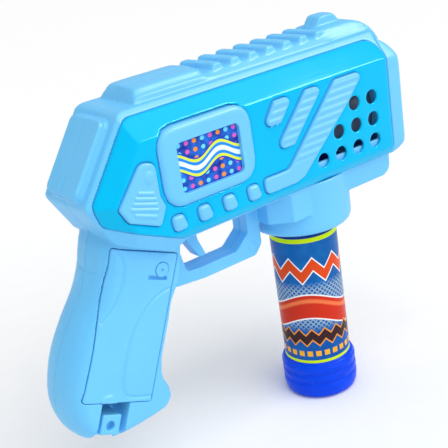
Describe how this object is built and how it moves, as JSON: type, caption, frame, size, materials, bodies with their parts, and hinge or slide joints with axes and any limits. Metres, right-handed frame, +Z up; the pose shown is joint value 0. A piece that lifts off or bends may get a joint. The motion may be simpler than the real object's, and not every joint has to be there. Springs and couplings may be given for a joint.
{
  "type": "toy bubble blower",
  "caption": "Battery bubble blower shaped as a toy pistol: a trigger runs a fan and a tube pump fed from a screw-in solution bottle under the muzzle.",
  "frame": {"origin": "middle of the hand grip, half way across it", "axes": "+X forwards to the muzzle, +Y to the left of the one who holds it, +Z up"},
  "size_m": [0.21, 0.0544, 0.1956],
  "materials": {
    "light_plastic": "satin",
    "cyan_plastic": "glossy",
    "sticker": "glossy",
    "steel": "satin",
    "dark_plastic": "matte",
    "cell": "satin",
    "white_plastic": "satin",
    "motor_can": "satin",
    "brass": "polished",
    "blue_plastic": "glossy",
    "silicone": "matte",
    "clear_plastic": "satin",
    "label": "glossy",
    "red_wire": "satin",
    "black_wire": "satin"
  },
  "bodies": {
    "body": {"right_shell": "light_plastic", "left_shell": "light_plastic", "right_panel": "cyan_plastic", "left_panel": "cyan_plastic", "muzzle_bezel": "light_plastic", "right_sticker": "sticker", "left_sticker": "sticker", "battery_tray": "dark_plastic", "lower_front_cell": "cell", "lower_rear_cell": "cell", "upper_cell": "cell", "battery_springs": "steel", "battery_contacts": "steel", "trigger_pin": "steel", "trigger_spring": "steel", "switch_body": "dark_plastic", "motor": "motor_can", "fan_shroud": "dark_plastic", "bubble_head": "blue_plastic", "pump_housing": "dark_plastic", "feed_tube": "silicone", "dip_tube": "clear_plastic", "drip_tray": "blue_plastic", "bottle_socket": "light_plastic", "case_screws": "steel", "red_lead": "red_wire", "black_lead": "black_wire"},
    "trigger": {"trigger": "light_plastic"},
    "switch": {"switch_button": "white_plastic"},
    "door": {"battery_door": "light_plastic"},
    "door_screw": {"door_screw": "light_plastic"},
    "fan": {"motor_shaft": "steel", "pinion": "brass", "fan": "dark_plastic"},
    "pump": {"pump_rotor": "white_plastic", "pump_axle": "steel", "pump_gear": "white_plastic"},
    "gasket": {"bottle_gasket": "silicone"},
    "bottle": {"bottle": "blue_plastic", "bottle_label": "label"}
  },
  "joints": [
    {"name": "trigger_pull", "type": "hinge", "parent": "body", "child": "trigger", "pos_m": [0.05, 0, 0.054], "axis": [0, 1, 0], "range_deg": [0, 10], "stiffness_Nm_per_rad": 0.3, "springref_deg": -6.88, "deforming": ["trigger_spring"]},
    {"name": "switch_press", "type": "slide", "parent": "body", "child": "switch", "axis": [1, 0, 0], "range_m": [0, 0.0015]},
    {"name": "door_lift", "type": "slide", "parent": "body", "child": "door", "axis": [0, -1, 0], "range_m": [0, 0.025]},
    {"name": "door_screw_turn", "type": "hinge", "parent": "door", "child": "door_screw", "pos_m": [0.02431, -0.0165, 0.02943], "axis": [0, -1, 0], "continuous": true},
    {"name": "fan_spin", "type": "hinge", "parent": "body", "child": "fan", "pos_m": [0.1, 0, 0.068], "axis": [1, 0, 0], "continuous": true},
    {"name": "pump_spin", "type": "hinge", "parent": "body", "child": "pump", "pos_m": [0.06, 0, 0.083], "axis": [1, 0, 0], "continuous": true},
    {"name": "bottle_lower", "type": "slide", "parent": "body", "child": "gasket", "axis": [0, 0, -1], "range_m": [0, 0.0061]},
    {"name": "bottle_turn", "type": "hinge", "parent": "gasket", "child": "bottle", "pos_m": [0.12, 0, 0], "axis": [0, 0, -1], "range_deg": [0, 540]}
  ],
  "couplings": [
    {"joint": "switch_press", "follows": "trigger_pull", "m_per_rad": 0.0065},
    {"joint": "pump_spin", "follows": "fan_spin", "ratio": -0.2},
    {"joint": "bottle_lower", "follows": "bottle_turn", "m_per_rad": 0.00063662}
  ]
}
